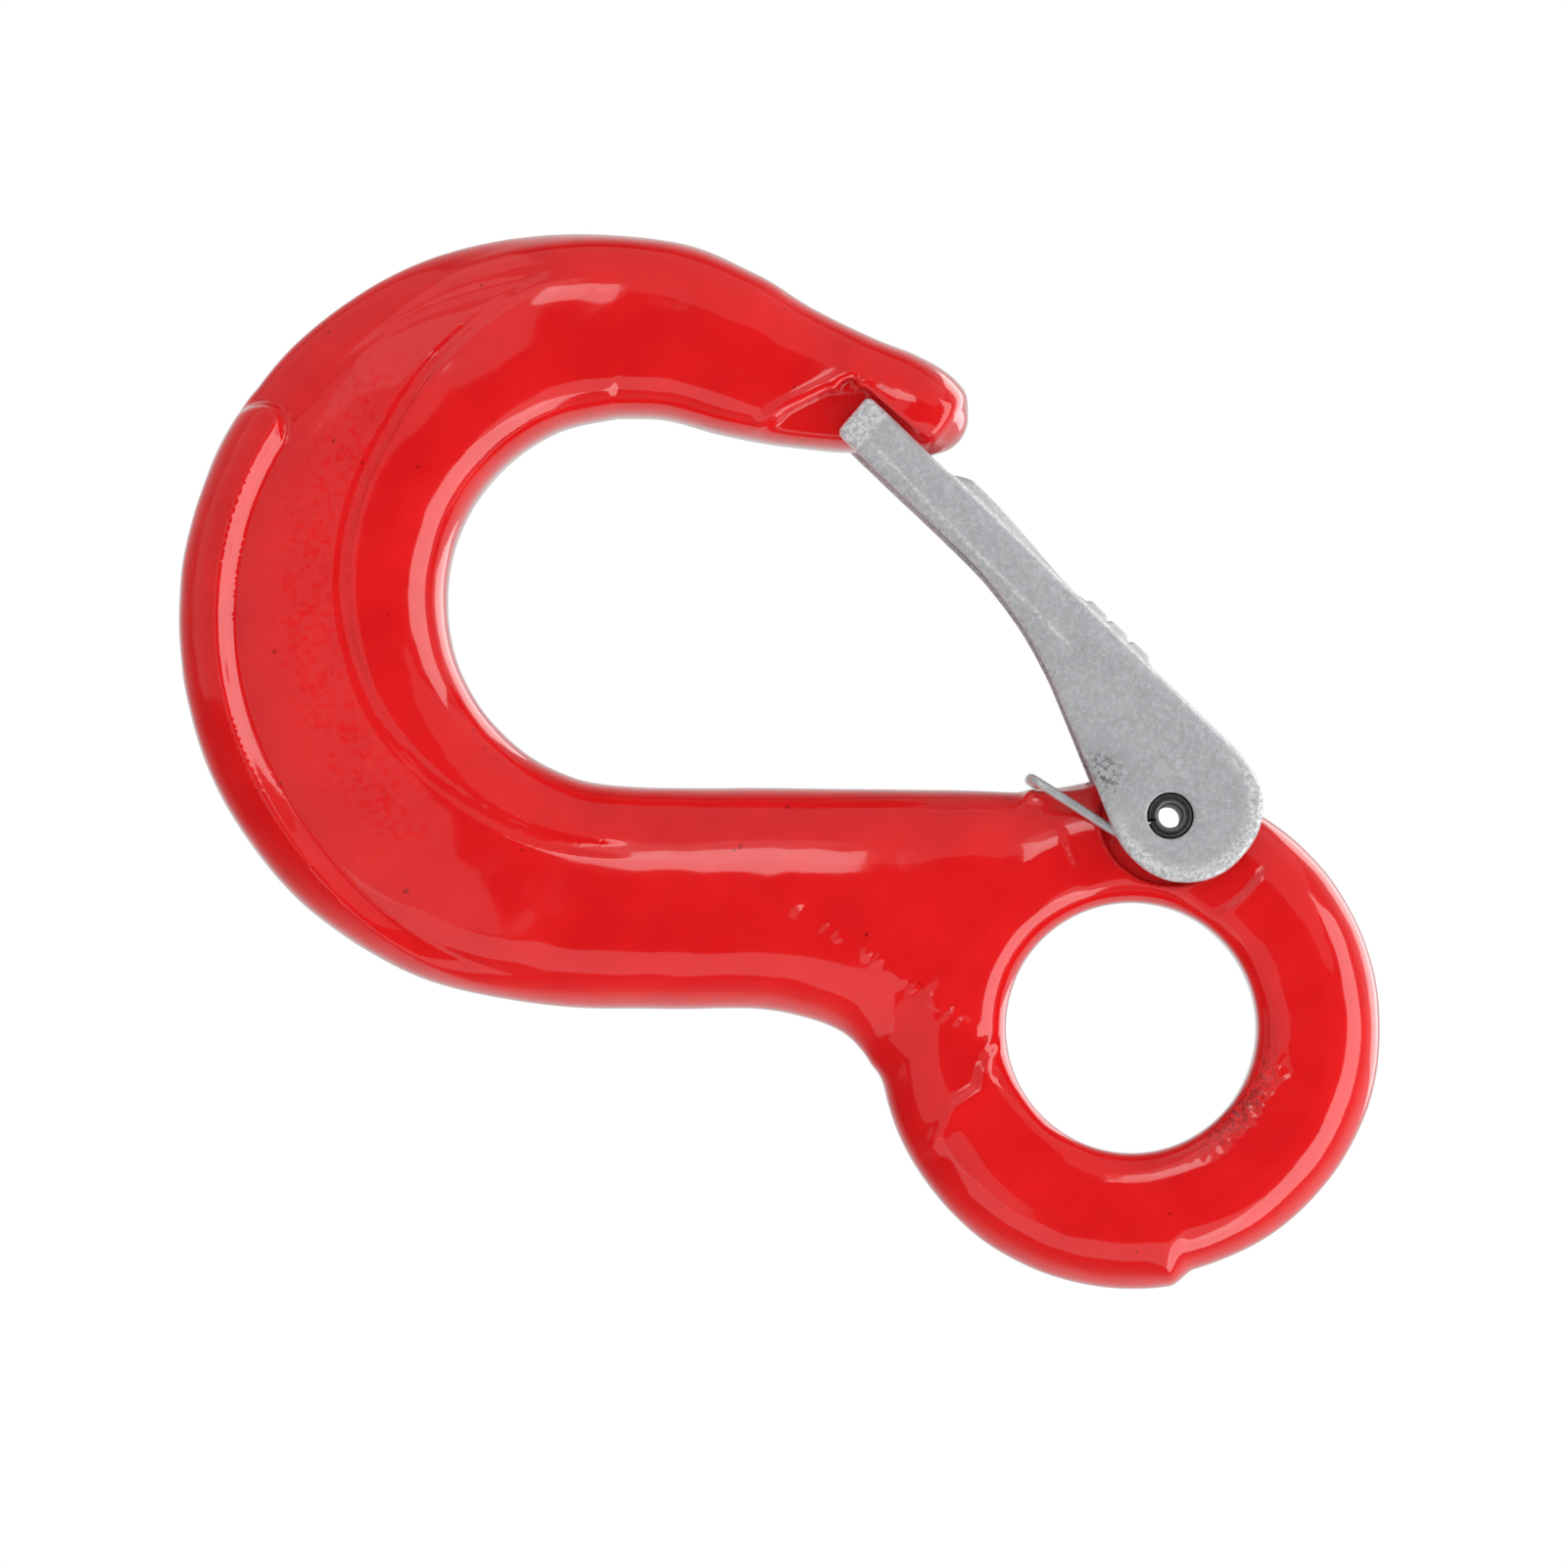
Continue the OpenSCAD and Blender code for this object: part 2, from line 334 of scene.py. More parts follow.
class Plan:
    """Values that depend only on x and z, kept on a fine grid and read back between its points."""
    size = 0.25
    low = (-44.0, -114.0)

    def __init__(self):
        self.x = np.arange(self.low[0], 50, self.size)[:, None]
        self.z = np.arange(self.low[1], 4, self.size)[None, :]
        stations = spline(NOSE + bowl_stations() + SHANK, STATION_STEPS)
        shape = np.broadcast_shapes(self.x.shape, self.z.shape)
        self.across = np.full(shape, 3.0)      # 0 on the middle line, 1 on either edge
        self.half = np.full(shape, 10.0)       # half width
        self.thick = np.full(shape, 6.0)       # half thickness
        mid = (stations[:, 0:2] + stations[:, 2:4]) / 2
        way = (stations[:, 2:4] - stations[:, 0:2]) / 2
        width = np.linalg.norm(way, axis=1)
        unit = way / width[:, None]

        def beside(k):
            return unit[k, 0] * (self.z - mid[k, 1]) - unit[k, 1] * (self.x - mid[k, 0])
        last = len(stations) - 1
        index = np.full(shape, last // 2)
        before = beside(0)
        for k in range(last):
            after = beside(k + 1)
            f = np.clip(before / np.where(np.abs(before - after) < 1e-9, 1e-9, before - after), 0, 1)
            mx = mid[k, 0] + (mid[k + 1, 0] - mid[k, 0]) * f
            mz = mid[k, 1] + (mid[k + 1, 1] - mid[k, 1]) * f
            ux = way[k, 0] + (way[k + 1, 0] - way[k, 0]) * f
            uz = way[k, 1] + (way[k + 1, 1] - way[k, 1]) * f
            square = ux * ux + uz * uz
            t = np.abs((self.x - mx) * ux + (self.z - mz) * uz) / square
            here = (before * after <= 0) & (t < np.minimum(self.across, REACH))
            self.across = np.where(here, t, self.across)
            self.half = np.where(here, np.sqrt(square), self.half)
            thick = stations[k, 4] + (stations[k + 1, 4] - stations[k, 4]) * f
            self.thick = np.where(here, thick, self.thick)
            index = np.where(here, k, index)
            before = after
        # past the two ends the last section goes on a little way
        for k, sign in ((0, -1), (last, 1)):
            t = np.abs((self.x - mid[k, 0]) * unit[k, 0] + (self.z - mid[k, 1]) * unit[k, 1]) / width[k]
            past = beside(k) * sign
            here = (self.across > 2.5) & (past > 0) & (past < 5) & (t < REACH)
            self.across = np.where(here, t, self.across)
            self.half = np.where(here, width[k], self.half)
            self.thick = np.where(here, stations[k, 4], self.thick)
            index = np.where(here, k, index)
        near_start, near_end = index < 3 * STATION_STEPS, index > last - STATION_STEPS
        self.past = np.where(near_start, -beside(0), np.where(near_end, beside(last), -9.0))

    def read(self, table, x, z):
        u = np.clip((x - self.low[0]) / self.size, 0, table.shape[0] - 1.001)
        v = np.clip((z - self.low[1]) / self.size, 0, table.shape[1] - 1.001)
        i, j = u.astype(int), v.astype(int)
        f, g = u - i, v - j
        i, j, f, g = np.broadcast_arrays(i, j, f, g)
        return ((table[i, j] * (1 - f) + table[i + 1, j] * f) * (1 - g)
                + (table[i, j + 1] * (1 - f) + table[i + 1, j + 1] * f) * g)


RIM_WIDE = 4.8                 # width of the rim along the back
RIM_RISE = 0.65                # how far the rim stands out
HOLLOW_DEEP = 1.6              # how far the face sinks beside the rim
SADDLE_LEAN = 0.06             # slope of the saddle beside the seam
SEAM_DEEP = 0.24
TIP_AT = (-33.6, -56.0)        # the nose's rounded tip: x and z, and half sizes in x, y and z
TIP_HALF = (4.15, 6.9, 4.7)
TIP_SCALE = 4.4                # makes its field read about in millimetres
plan = Plan()
uneven = waves(3, 26, 5, 16)   # gentle unevenness of the forging, and a finer ripple
ripple = waves(8, 22, 2.2, 4.5)
BOSS_WEB = rounded([(-24.9, -7, 2), (-19.2, -17.3, 3), (-14.4, -19.3, 3), (-11.2, -23.5, 0.8),
                    (-4, -19, 2), (-12, -8, 2)], 5)
SEAT = rounded([(-31.3, -40, 1), (-31.3, -63.6, 1.2), (-28.4, -64.5, 3), (-24.6, -66.1, 5),
                (-14, -66.8, 1), (-10, -40, 1)], 5)
KNOBBLY_FOLD = [(10.2, -8.5), (10.9, -16), (11.4, -25), (13, -33)]
# raised lines: path, height and width. Two folds where the eye runs into the shank, then the
# bead along the foot of the latch seat and a second run beside it
RIDGES = [
    ([(12, -8.6), (14.5, -7.2), (18, -8.2), (22, -7.6)], 0.3, 0.9),
    ([(14.1, 2.5), (13.9, -3), (12.8, -8.5)], 0.16, 0.6),
    ([(-31.6, -63.9), (-28.3, -65.3), (-24.6, -66.9), (-21.4, -67.4)], 0.28, 0.55),
    ([(-31.9, -62.2), (-30.4, -62.6), (-29.2, -64)], 0.3, 0.5)]


def section(across, half, high, thick, power):
    """Distance to a rounded oblong: half wide, thick high, squarer with a higher power."""
    a, v = np.abs(across), np.abs(high / thick)
    size = (a ** power + v ** power) ** (1 / power)
    safe = np.maximum(size, 0.35)
    slope = np.hypot((a / safe) ** (power - 1) / half, (v / safe) ** (power - 1) / thick)
    return (size - 1) / np.maximum(slope, 0.02)


def details(x, y, z):
    """Height of the forging's fine shape over its plain sections."""
    high = np.abs(y)
    r, a = polar(x, z - FACE_Z)
    seam_r = np.interp(a, [-125, -85, -52, -25, 0, 33], [32.7, 29.3, 28.7, 27.8, 26.1, 25.2])
    edge = BACK_R - np.hypot(x - BACK_AT[0], z - BACK_AT[1])     # distance in from the hook's back
    # hollow between the seam and the rim along the back, and the rim's rounded end under the bowl
    back = step(-140, -92, a) * (1 - step(-10, 38, a)) * step(1.0, 5.0, high) * (r > 20)
    wide = RIM_WIDE * (1 - 0.6 * step(-25, 25, a))
    hollow = np.clip((r - seam_r) / np.maximum(edge + r - seam_r - wide, 1), 0, 1)
    rim = np.clip((wide + 0.95 - edge) / 1.9, 0, 1) * step(-78.6, -77.0, a - 0.4 * (edge - 2.4) ** 2)
    up = back * (RIM_RISE * rim * step(0, 4.5, edge) - HOLLOW_DEEP * hollow * (1 - rim))
    # the rim's outer edge stands out a little more
    up = up + 0.11 * step(-79.5, -77.5, a) * (1 - step(-30, 20, a)) * step(6, 2, edge)
    # the saddle leans outwards a little beside the seam
    saddle = step(-125, -100, a) * (1 - step(-25, 5, a)) * step(3, 6, high)
    up = up - SADDLE_LEAN * saddle * np.clip(r - 24, 0, 6)
    # groove between the bowl's saddle and its outer part
    seam = step(-128, -104, a) * (1 - step(28, 44, a)) * (np.abs(r - seam_r) < 8) * step(2, 5, high)
    up = up - SEAM_DEEP * seam * (1 - step(0.45, 0.85, np.abs(r - seam_r)))
    # fold where the eye runs into the shank, uneven along its length
    knobs = 0.55 + 0.45 * np.sin(z * 2.9 + np.sin(z * 1.3) * 2)
    up = up + 0.22 * bump(path_distance(KNOBBLY_FOLD, x, z), 0.7) * knobs
    for path, height, width in RIDGES:
        up = up + height * bump(path_distance(path, x, z), width)
    # run of paint on the eye's outside
    up = up + 0.3 * bump(np.hypot(x - 16.4, z - 19.0), 1.5) * step(0, 3, high)
    # rough patch inside the eye's upper shoulder
    patch = bump(np.hypot((x + 3) / 6, (z - 14.2) / 1.6), 1.0)
    up = up + 0.09 * patch * ripple(x * 3, y * 3, z * 3)
    return up + 0.035 * uneven(x, y, z) + 0.006 * ripple(x, y, z)


def hook_field(x, y, z):
    """The forging: eye, bar and tip joined, then the boss, reliefs, latch seat and bores."""
    high = np.abs(y)
    rho, a = polar(x, z)
    outer = EYE_OUTER_R + EYE_SWELL * step(-90, 44, a) * (1 - step(48.8, 55.2, a))
    middle = (EYE_R - EYE_OVERLAP + outer) / 2
    wide = (outer - EYE_R + EYE_OVERLAP) / 2
    place = (rho - middle) / wide
    # the eye's section is squarer towards the bore than towards the outside
    inner = 4.2 - 1.5 * step(-175, -150, a) * (1 - step(-40, -10, a))
    eye = section(place, wide, high, EYE_HALF, inner + (2.05 - inner) * step(-0.3, 0.3, place))
    tables = (plan.across, plan.half, plan.thick, plan.past)
    across, half, thick, past = (plan.read(t, x, z) for t in tables)
    bar = section(across, half, high, thick, 2.9 - 0.6 * step(-68, -48, z))
    bar = smax(bar, past - 1.0, 1.5)
    tip_x, tip_y, tip_z = (x - TIP_AT[0]) / TIP_HALF[0], y / TIP_HALF[1], (z - TIP_AT[1]) / TIP_HALF[2]
    tip = (np.sqrt(tip_x ** 2 + tip_y ** 2 + tip_z ** 2) - 1) * TIP_SCALE
    body = smin(bar, tip, 1.2)
    body = smin(body, eye, 1.8)
    from_pin = pin_distance(x, z)
    room = smin(COIL_ROOM_R - from_pin, high - BOSS_HALF, 0.8)
    relief = smin(RELIEF_R - from_pin, high - RELIEF_HALF, 0.4)
    body = smax(smax(body, relief, 0.8), room, 0.45)
    boss = smin(from_pin - BOSS_R, outline_distance(BOSS_WEB, x, z), 1.5)
    boss = smax(boss, high - BOSS_HALF, 1.0)
    body = smin(body, boss, 0.8)
    seat = smin(-outline_distance(SEAT, x, z), high - SEAT_HALF, 0.7)
    body = smax(body, seat, 0.45)
    body = body - details(x, y, z)
    body = smax(body, EYE_R - rho, 0.25)
    return smax(body, PIN_R - from_pin, 0.1)


def make_hook(paint):
    """The forging's mesh, with where its gloss is mottled and where its bore is specked."""
    points, quads = mesh_field(hook_field, (-40, -10.2, -110.2), (46.4, 10.2, 27.2), HOOK_GRID)
    x, y, z = points.T
    r, a = polar(x, z - FACE_Z)
    mottle = bump((r - 31.8) / 4.0, 1.0) * step(-105, -80, a) * (1 - step(-12, 12, a))
    rho, turn = polar(x, z)
    specks = bump((rho - 13.6) / 1.6, 1.0) * bump((turn - 96) / 30, 1.0)
    return make_mesh("hook_forging", points, quads, paint, mottle=mottle, specks=specks)


# ---- The latch ----
CHEEK = rounded([(-31.2, -61, 0.8), (-25.95, -61, 0.8), (-24.58, -35.2, 42),
                 (-12.75, -12.27, 9), (-12.75, -2.7, 7.2), (-27.4, -2.7, 7.2)], 16)
WEB_FOOT = (-31.2, -61.0)      # the web's outer face starts here and runs this way
WEB_WAY = np.array([3.8, 58.3]) / math.hypot(3.8, 58.3)
WEB_FROM, WEB_TO = -8.5, -49.4                 # the web is cut back above and below these heights
INNER_HALF = LATCH_HALF - SHEET
PADS = (31.3, 34.2, 37.2)      # middles of the three pads, up along the web
CREASE = [(-27.4, -57.4), (-26.6, -50), (-25.7, -40), (-24.9, -29.8)]


def web_place(x, z):
    """Distance in from the web's outer face, and distance up along it from the tip."""
    px, pz = x - WEB_FOOT[0], z - WEB_FOOT[1]
    return px * WEB_WAY[1] - pz * WEB_WAY[0], px * WEB_WAY[0] + pz * WEB_WAY[1]


def web_relief(y, up):
    """How far the web's face stands out: one long rib and three pads above it."""
    rib = step(10.9, 13.6, up) * (1 - step(15, 30.5, up) * 0.95) * (1 - step(2.2, 4.6, np.abs(y)))
    out = 1.05 * rib + 0.2 * (1 - step(4.6, 5.6, np.abs(up - 34.2))) * (1 - step(3.4, 4.6, np.abs(y)))
    for middle in PADS:
        out = out + 0.45 * (1 - step(0.9, 1.55, np.abs(up - middle))) * (1 - step(2.6, 3.9, np.abs(y)))
    return out


def latch_field(x, y, z):
    """The stamping: a bent channel trimmed to the cheeks' outline, hollowed, and marked outside."""
    high = np.abs(y)
    depth, up = web_place(x, z)
    edge = outline_distance(CHEEK, x, z)
    rise = web_relief(y, up)
    face = depth + rise
    qx, qy = BEND_R - face, high - (LATCH_HALF - BEND_R)
    shell = np.hypot(np.maximum(qx, 0), np.maximum(qy, 0)) + np.minimum(np.maximum(qx, qy), 0) - BEND_R
    on_web = step(10.5, 12, up) * (1 - step(51.5, 52.8, up)) * (1 - step(0.6, 2.2, depth))
    stamped = smax(shell, edge, 0.75)
    body = stamped * (1 - on_web) + shell * on_web
    gap = smax(SHEET - depth - rise, high - INNER_HALF, 0.7)
    body = smax(body, -gap, 0.25)
    for beyond in (z - WEB_FROM, WEB_TO - z):
        body = smax(body, -smax(-beyond, high - INNER_HALF, 0.8), 0.3)
    from_pin = pin_distance(x, z)
    body = smax(body, PIN_R + PIN_CLEAR - from_pin, 0.16)
    crease = path_distance(CREASE, x, z)
    tip = 0.09 * step(-57.9, -58.4, z) + 0.1 * bump(np.hypot(x + 28.7, z + 58.1) - 0.75, 0.16) \
        * (z < -57.7)
    outside = step(LATCH_HALF - 0.9, LATCH_HALF - 0.4, high)
    marks = 0.07 * bump(crease, 0.16) - tip * 0.8
    nick = bump(np.hypot(x + 19.4, z + 3.9), 0.45) + 0.7 * bump(np.hypot(x + 24.9, z + 4.1), 0.5)
    return body - outside * marks + 0.22 * nick * outside - 0.014 * uneven(x * 2.2, y * 2.2, z * 2.2)


def make_latch(zinc):
    """The latch's mesh, with where its plating is lightened, by wear and by a painted highlight along
    its edges, and where it is sooty.
    """
    points, quads = mesh_field(latch_field, (-34, -9.2, -62.4), (-11.4, 9.2, -1.4), LATCH_GRID)
    x, y, z = points.T
    edge = outline_distance(CHEEK, x, z)
    low_end = step(-25, -13, x * 0.4 + z)
    # painted highlight: a bright band just inside the edge at the latch's lower end, and a thin bright
    # line along every edge
    rim = 1.2 * bump(edge + 0.9, 0.6) * low_end + 0.6 * bump(edge + 0.15, 0.2)
    crease = path_distance(CREASE, x, z)
    # the crease and the tip are lightened as wear; the edge band above is painted highlight
    worn = np.clip(rim + 0.8 * bump(crease, 0.22) + 0.7 * step(-58.0, -58.5, z), 0, 1)
    soot = bump(np.hypot((x + 17.4) / 2.2, (z + 18.6) / 2.6), 1.0)
    return make_mesh("latch_stamping", points, quads, zinc, worn=worn, soot=soot)


# ---- The pin ----
PIN_GRID = 0.14
PIN_TURN = math.radians(-35)   # the slot's direction from +X
SLOT_HALF = 0.15
SLOT_FROM = 1.55               # the slot stops short of the bore, so it isn't seen through


def pin_field(x, y, z):
    """The pin about its own axis, with its slot towards +X."""
    r = np.hypot(x, z)
    wall = smax(r - (PIN_R - 0.01), PIN_HOLE_R - r, 0.3)
    ends = np.abs(y) - (LATCH_HALF - 0.12)
    slot = smax(smax(np.abs(z) - SLOT_HALF, -x, 0.1), SLOT_FROM - r, 0.1)
    return smax(smax(wall, ends, 0.45), -slot, 0.2) - 0.012 * uneven(x * 4, y * 2, z * 4)


def make_pin(black):
    points, quads = mesh_field(pin_field, (-3.1, -9, -3.1), (3.1, 9, 3.1), PIN_GRID)
    r = np.hypot(points[:, 0], points[:, 2])
    worn = np.clip(step(LATCH_HALF - 0.7, LATCH_HALF - 0.1, np.abs(points[:, 1]))
                   * (bump(r - 1.35, 0.25) + 0.4 * bump(r - 2.1, 0.2)), 0, 1)
    cos, sin = math.cos(PIN_TURN), math.sin(PIN_TURN)
    turned = points.copy()
    turned[:, 0] = points[:, 0] * cos - points[:, 2] * sin + PIN_AT[0]
    turned[:, 2] = points[:, 0] * sin + points[:, 2] * cos + PIN_AT[1]
    return make_mesh("latch_spring_pin", turned, quads, black, worn=worn)


# ---- The spring ----
COIL_IN, COIL_OUT = 4.37, 5.83                 # y of the coil's two ends
FREE_TURN, FIXED_TURN = 165, -10               # angles at which its legs leave it
COIL_STEPS = 32
WIRE_SIDES = 14


def tube(name, path, r, material):
    """Round wire along a path, with closed ends."""
    p = np.array(path, float)
    way = np.gradient(p, axis=0)
    way /= np.linalg.norm(way, axis=1)[:, None]
    rings = []
    v = np.cross(way[0], [0.3, 1, 0.2])
    for q, t in zip(p, way):
        v = v - t * (v @ t)
        v /= np.linalg.norm(v)
        w = np.cross(t, v)
        a = np.linspace(0, 2 * math.pi, WIRE_SIDES, endpoint=False)[:, None]
        rings.append(q + r * (np.cos(a) * v + np.sin(a) * w))
    first, last = p[0] - way[0] * r * 0.35, p[-1] + way[-1] * r * 0.35
    count = len(p)
    points = np.vstack(rings + [first[None], last[None]])
    mesh = bpy.data.meshes.new(name)
    faces = []
    for i in range(count - 1):
        for j in range(WIRE_SIDES):
            k = (j + 1) % WIRE_SIDES
            low, high = i * WIRE_SIDES, (i + 1) * WIRE_SIDES
            faces.append((low + j, low + k, high + k, high + j))
    start, end = count * WIRE_SIDES, (count - 1) * WIRE_SIDES
    for j in range(WIRE_SIDES):
        k = (j + 1) % WIRE_SIDES
        faces.append((start, k, j))
        faces.append((start + 1, end + j, end + k))
    mesh.from_pydata([tuple(c * MM) for c in points], [], faces)
    mesh.shade_smooth()
    mesh.update()
    mesh.materials.append(material)
    obj = bpy.data.objects.new(name, mesh)
    bpy.context.scene.collection.objects.link(obj)
    return obj


def coil_point(angle, y):
    a = math.radians(angle)
    return (PIN_AT[0] + COIL_R * math.cos(a), y, PIN_AT[1] + COIL_R * math.sin(a))


def make_spring(steel):
    """Two coils, each with its free leg, and the bridge of fixed legs and cross-bar between them."""
    turn = FIXED_TURN + 720 - FREE_TURN
    pieces = []
    for side, name in ((-1, "near"), (1, "far")):
        path = [(-26.6, side * COIL_IN, -32.0), (-26.4, side * COIL_IN, -30.6),
                (-25.4, side * COIL_IN, -25), (-24.3, side * COIL_IN, -19)]
        for k in range(COIL_STEPS + 1):
            f = k / COIL_STEPS
            path.append(coil_point(FREE_TURN + f * turn, side * (COIL_IN + f * (COIL_OUT - COIL_IN))))
        coil = tube("latch_spring_coil_" + name, spline(path, 4), WIRE_R, steel)
        pieces.append((coil, side))
    half = [coil_point(FIXED_TURN - 0.5, -COIL_OUT), (-13.75, -COIL_OUT, -14.2),
            (-13.1, -COIL_OUT, -18.9), (-12.62, -COIL_OUT, -22.3), (-12.5, -COIL_OUT + 0.22, -23.2),
            (-12.42, -COIL_OUT + 0.85, -23.75), (-12.4, -COIL_OUT + 2, -23.85), (-12.4, -1.5, -23.85)]
    path = half + [(x, -y, z) for x, y, z in reversed(half)]
    bridge = tube("latch_spring_bridge", spline(path, 5), WIRE_R, steel)
    return pieces, bridge


# ---- Materials ----
class Nodes:
    """Short way to build a material's nodes."""

    def __init__(self, name):
        self.material = bpy.data.materials.new(name)
        self.material.use_nodes = True
        self.tree = self.material.node_tree
        self.shader = self.tree.nodes["Principled BSDF"]

    def add(self, kind, **settings):
        node = self.tree.nodes.new(kind)
        for key, value in settings.items():
            if key.startswith("in_"):
                node.inputs[key[3:].replace("_", " ")].default_value = value
            else:
                setattr(node, key, value)
        return node

    def link(self, a, b):
        self.tree.links.new(a, b)

    def place(self):
        return self.add("ShaderNodeTexCoord").outputs["Object"]

    def noise(self, scale, detail=4, rough=0.5, stretch=None):
        node = self.add("ShaderNodeTexNoise", in_Scale=scale, in_Detail=detail, in_Roughness=rough)
        where = self.place()
        if stretch:
            mapping = self.add("ShaderNodeMapping", in_Scale=stretch[0], in_Rotation=stretch[1])
            self.link(where, mapping.inputs["Vector"])
            where = mapping.outputs["Vector"]
        self.link(where, node.inputs["Vector"])
        return node.outputs["Fac"]

    def ramp(self, value, *stops):
        node = self.add("ShaderNodeValToRGB")
        elements = node.color_ramp.elements
        while len(elements) < len(stops):
            elements.new(0.5)
        for e, (at, colour) in zip(elements, stops):
            e.position = at
            e.color = (*colour, 1)
        self.link(value, node.inputs["Fac"])
        return node.outputs["Color"]

    def span(self, value, low, high, out_low, out_high):
        node = self.add("ShaderNodeMapRange", in_From_Min=low, in_From_Max=high,
                        in_To_Min=out_low, in_To_Max=out_high)
        self.link(value, node.inputs["Value"])
        return node.outputs["Result"]

    def math(self, operation, a, b):
        node = self.add("ShaderNodeMath", operation=operation)
        for socket, value in zip(node.inputs, (a, b)):
            if isinstance(value, (int, float)):
                socket.default_value = value
            else:
                self.link(value, socket)
        return node.outputs["Value"]

    def mix(self, factor, a, b):
        node = self.add("ShaderNodeMix", data_type="RGBA")
        self.link(factor, node.inputs["Factor"])
        for socket, value in ((node.inputs[6], a), (node.inputs[7], b)):
            if isinstance(value, tuple):
                socket.default_value = (*value, 1)
            else:
                self.link(value, socket)
        return node.outputs[2]

    def value(self, name):
        return self.add("ShaderNodeAttribute", attribute_name=name).outputs["Fac"]

    def bump(self, height, strength, distance, over=None):
        node = self.add("ShaderNodeBump", in_Strength=strength, in_Distance=distance)
        self.link(height, node.inputs["Height"])
        if over:
            self.link(over, node.inputs["Normal"])
        return node.outputs["Normal"]

    def finish(self, colour, rough, normal, **settings):
        self.link(colour, self.shader.inputs["Base Color"])
        self.link(rough, self.shader.inputs["Roughness"])
        self.link(normal, self.shader.inputs["Normal"])
        for key, value in settings.items():
            self.shader.inputs[key.replace("_", " ")].default_value = value
        return self.material


def red_paint():
    """Gloss paint with small pits, specks in the eye's bore, and a mottled loss of gloss."""
    n = Nodes("red_paint")
    cloud = n.noise(140, 3)
    fine = n.noise(2600, 2)
    colour = n.ramp(cloud, (0.3, (0.70, 0.0075, 0.009)), (0.7, (0.80, 0.0115, 0.0125)))
    pits = n.ramp(n.noise(900, 1, 0.3), (0.0, (1, 1, 1)), (0.19, (1, 1, 1)), (0.21, (0, 0, 0)))
    colour = n.mix(pits, colour, (0.38, 0.005, 0.006))
    dots = n.span(n.noise(2400, 3, 0.7), 0.46, 0.58, 0.0, 0.8)
    specks = n.math("MULTIPLY", n.value("specks"), dots)
    colour = n.mix(specks, colour, (0.16, 0.012, 0.012))
    rough = n.span(n.noise(320, 3), 0.3, 0.75, 0.08, 0.14)
    peel = n.bump(n.noise(600, 2, 0.4), 0.05, 0.0004)
    normal = n.bump(fine, 0.015, 0.0002, peel)
    dull = n.ramp(n.noise(1200, 5, 0.72), (0.38, (0.8, 0.8, 0.8)), (0.53, (0, 0, 0)))
    gloss = n.math("SUBTRACT", 1, n.math("MULTIPLY", dull, n.value("mottle")))
    n.link(gloss, n.shader.inputs["Coat Weight"])
    n.link(n.math("MULTIPLY", gloss, 0.5), n.shader.inputs["Specular IOR Level"])
    return n.finish(colour, rough, normal, Coat_Roughness=0.04)


def zinc_plate():
    """Satin plating with bright flecks, fine wrinkles, edges lightened by wear and by a painted
    highlight, and a sooty patch.
    """
    n = Nodes("zinc_plate")
    cloud = n.noise(240, 4, 0.6)
    grain = n.noise(1900, 3, 0.65)
    lines = n.noise(800, 3, 0.6, ((0.12, 1, 2.2), (0, 0.065, 0)))
    base = n.ramp(cloud, (0.3, (0.41, 0.42, 0.436)), (0.7, (0.48, 0.49, 0.506)))
    flecks = n.ramp(grain, (0.36, (0, 0, 0)), (0.5, (0.3, 0.3, 0.3)), (0.64, (1, 1, 1)))
    colour = n.mix(n.math("MULTIPLY", flecks, 0.3), base, (0.75, 0.76, 0.78))
    leather = n.ramp(n.noise(1000, 2, 0.5), (0.462, (0, 0, 0)), (0.5, (1, 1, 1)), (0.538, (0, 0, 0)))
    colour = n.mix(n.math("MULTIPLY", leather, 0.4), colour, (0.72, 0.73, 0.75))
    # lighter where worn, and lighter along the latch's edges where a highlight is painted into the
    # colour
    worn = n.math("MULTIPLY", n.value("worn"), n.span(n.noise(2300, 3, 0.7), 0.44, 0.56, 0.05, 1.0))
    colour = n.mix(worn, colour, (0.86, 0.87, 0.88))
    soot = n.math("MULTIPLY", n.value("soot"), n.span(n.noise(1900, 3, 0.7), 0.48, 0.6, 0.0, 0.9))
    colour = n.mix(soot, colour, (0.09, 0.09, 0.095))
    rough = n.span(n.math("SUBTRACT", grain, n.math("MULTIPLY", worn, 0.35)), 0.0, 0.8, 0.25, 0.5)
    normal = n.bump(grain, 0.5, 0.00016)
    normal = n.bump(lines, 0.3, 0.00016, normal)
    normal = n.bump(cloud, 0.25, 0.0004, normal)
    return n.finish(colour, rough, normal, Metallic=0.3)


def black_steel():
    n = Nodes("black_steel")
    grain = n.noise(1800, 4, 0.6)
    colour = n.ramp(grain, (0.3, (0.008, 0.008, 0.008)), (0.75, (0.035, 0.035, 0.036)))
    colour = n.mix(n.value("worn"), colour, (0.22, 0.22, 0.22))
    rough = n.span(grain, 0.3, 0.7, 0.28, 0.5)
    normal = n.bump(grain, 0.3, 0.0001)
    return n.finish(colour, rough, normal, Metallic=0.6)


def spring_wire():
    n = Nodes("spring_wire")
    grain = n.noise(700, 2, 0.5)
    colour = n.ramp(grain, (0.3, (0.66, 0.67, 0.69)), (0.7, (0.78, 0.79, 0.81)))
    rough = n.span(grain, 0.3, 0.7, 0.16, 0.32)
    normal = n.bump(grain, 0.05, 0.00008)
    return n.finish(colour, rough, normal, Metallic=0.6)


def floor_paint():
    n = Nodes("pale_floor")
    colour = n.ramp(n.noise(6, 2), (0.3, (0.80, 0.80, 0.80)), (0.7, (0.84, 0.84, 0.84)))
    rough = n.span(n.noise(30, 2), 0.3, 0.7, 0.6, 0.75)
    return n.finish(colour, rough, n.bump(n.noise(120, 3), 0.05, 0.0005))


